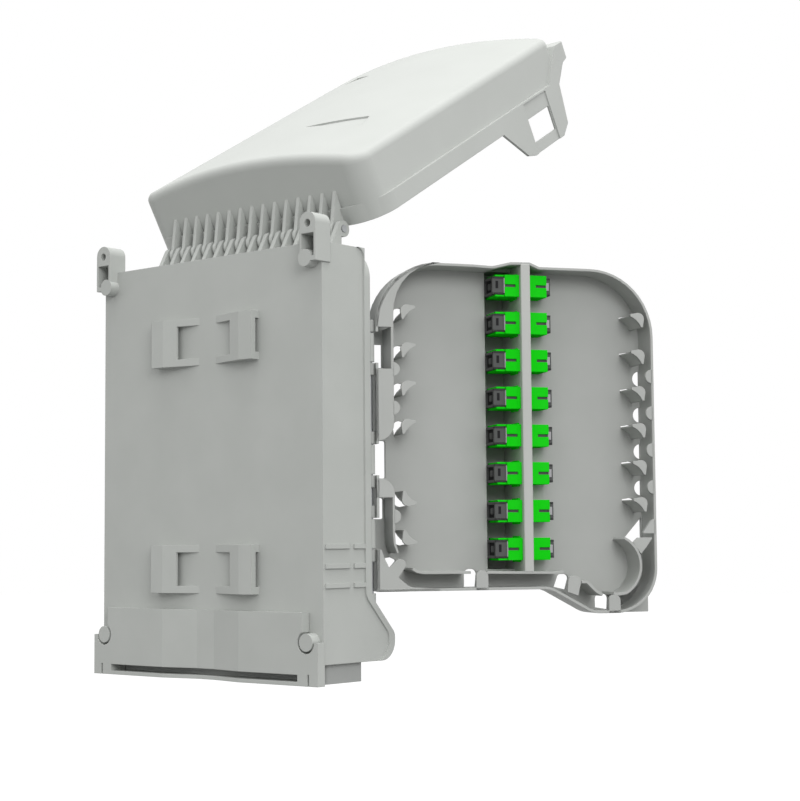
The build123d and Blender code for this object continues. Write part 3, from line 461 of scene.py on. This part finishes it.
def tray():
    """The tray's moulding, from the floor to the knuckles."""
    bm = bmesh.new()
    bm.from_mesh(carved_floor())
    ribbon(bm, RIM, WALL_T)
    for (_, above), (below, _) in zip(LUG_GAPS, LUG_GAPS[1:]):
        ribbon(bm, [(LEFT_A, below), (LEFT_A, above)], WALL_T, 0.0, FLOOR_D + 0.5)
    prism(bm, box_outline(WELL_A0 - WELL_EDGE, WELL_BACK_A1 + WELL_EDGE, WELL_TOP + WELL_EDGE,
                          WELL_LOW - WELL_EDGE), WELL_D, WELL_D + WALL_T)
    well = box_outline(WELL_A0, WELL_BACK_A1, WELL_TOP, WELL_LOW)
    for k in range(4):
        ribbon(bm, [well[k], well[k - 1]], WALL_T, WELL_WALL_D0, WELL_WALL_D1)
    # square foot under the free lower corner, at the floor
    prism(bm, rounded([(108, TOE_Z - 0.2), (127.6, TOE_Z - 0.2, 0.5), (127.6, -142),
                       (120, -142)]), FLOOR_D, FLOOR_D + FLOOR_T)
    for outline in FLANGES:
        prism(bm, outline, 0, LIP_T)
    ribbon(bm, [(7.7, -57), (7.7, -39.2)], WALL_T)
    ribbon(bm, [(9.6, -133.2), (8.2, -129.4), (7.9, -125), (7.9, -110)], 0.9)
    # cable way: its inner wall in stretches, and the guide at the toe
    ribbon(bm, [(16.6, -139.2), (18.4, -140.3), (21.1, -140.8), (41.6, -140.9)], WALL_T)
    ribbon(bm, [(48.8, -141.0), (80, -141.5), (83.4, -141.2)], WALL_T)
    ribbon(bm, rounded([(91.2, -145.6), (94, -145.6, 2), (98.4, -149.8, 4), (101, -151.2)],
                       closed=False), WALL_T)
    ribbon(bm, arc(105.7, -139.5, 13.7, 63, -63) + [(108.5, -152.2), (105.8, -151.6)], WALL_T)
    for outline in at_fingers(FINGER):
        prism(bm, outline, 0, FINGER_T)
    for outline in at_fingers(WEB):
        prism(bm, outline, WEB_D0, WEB_D1)
    for z in LEFT_NUBS:
        prism(bm, arc(LEFT_NUB_A, z, LEFT_NUB_R, -90, 90), 0, LIP_T)
    for z in RIGHT_NUBS:
        prism(bm, arc(RIGHT_NUB_A, z, RIGHT_NUB_R, 90, 270), 0, LIP_T)
    for corners in HOOKS:
        prism(bm, rounded(corners), 0, LIP_T)
    for high, low in LUG_GAPS:
        for z in (high, low - KNUCKLE_H):
            knuckle(bm, z)
    return bm


def panel():
    """The upright bar that holds the adapters, down to the bottom of the well."""
    bm = bmesh.new()
    left, right, top, low = BAR_A - BAR_T / 2, BAR_A + BAR_T / 2, -10.6, -141.6
    prism(bm, rounded([(left, low), (left, top, 0.4), (right, top, 0.4), (right, low)]),
          -0.1, WELL_WALL_D1)
    return bm


finish_tray_piece(solid("adapter_tray_detail", tray()), tray_grey, "adapter_tray", 0.00018)
finish_tray_piece(solid("adapter_panel_detail", panel()), bar, "adapter_panel", 0.0003)

# Studio: even light from all round, a pale floor, and white for the camera and in reflections
WORLD_LIGHT, WORLD_SEEN = 0.95, 1.0
GROUND_Z, GROUND_R = -0.36, 6.0
GROUND_GREY, GROUND_GLOW = 0.25, 0.8


def seen(tree):
    """1 for camera, mirror and glass rays, 0 for those that light a surface."""
    ray = tree.nodes.new("ShaderNodeLightPath")
    total = ray.outputs["Is Camera Ray"]
    for kind in ("Is Glossy Ray", "Is Transmission Ray"):
        more = tree.nodes.new("ShaderNodeMath")
        more.operation = "MAXIMUM"
        tree.links.new(total, more.inputs[0])
        tree.links.new(ray.outputs[kind], more.inputs[1])
        total = more.outputs[0]
    return total


def strength(tree, low, high, target):
    """Give a strength one level for the light on surfaces and another where it is seen."""
    level = tree.nodes.new("ShaderNodeMapRange")
    level.inputs["To Min"].default_value = low
    level.inputs["To Max"].default_value = high
    tree.links.new(seen(tree), level.inputs["Value"])
    tree.links.new(level.outputs["Result"], target)


world = bpy.data.worlds.new("studio")
world.use_nodes = True
sky = world.node_tree.nodes["Background"]
sky.inputs["Color"].default_value = (1, 1, 1, 1)
strength(world.node_tree, WORLD_LIGHT, WORLD_SEEN, sky.inputs["Strength"])
bpy.context.scene.world = world

floor_mesh = bpy.data.meshes.new("floor")
floor_mesh.from_pydata([(-GROUND_R, -GROUND_R, GROUND_Z), (GROUND_R, -GROUND_R, GROUND_Z),
                        (GROUND_R, GROUND_R, GROUND_Z), (-GROUND_R, GROUND_R, GROUND_Z)],
                       [], [(0, 1, 2, 3)])
floor = bpy.data.objects.new("floor", floor_mesh)
bpy.context.scene.collection.objects.link(floor)
pale = bpy.data.materials.new("pale_floor")
pale.use_nodes = True
pale_shader = pale.node_tree.nodes["Principled BSDF"]
pale_shader.inputs["Base Color"].default_value = (GROUND_GREY, GROUND_GREY, GROUND_GREY, 1)
pale_shader.inputs["Roughness"].default_value = 1.0
pale_shader.inputs["Specular IOR Level"].default_value = 0.0
pale_shader.inputs["Emission Color"].default_value = (1, 1, 1, 1)
strength(pale.node_tree, 0, GROUND_GLOW, pale_shader.inputs["Emission Strength"])
floor.data.materials.append(pale)


def area(name, at, target, size, power):
    """Square soft light that looks at a point."""
    data = bpy.data.lights.new(name, "AREA")
    data.size, data.energy = size, power
    obj = bpy.data.objects.new(name, data)
    bpy.context.scene.collection.objects.link(obj)
    obj.location = at
    obj.rotation_euler = (Vector(target) - Vector(at)).to_track_quat("-Z", "Y").to_euler()


area("top_light", (-0.25, 0.02, 1.9), (0, -0.05, -0.02), 1.1, 26)
area("side_light", (-1.8, 1.0, 0.7), (0, 0, -0.08), 0.9, 17)
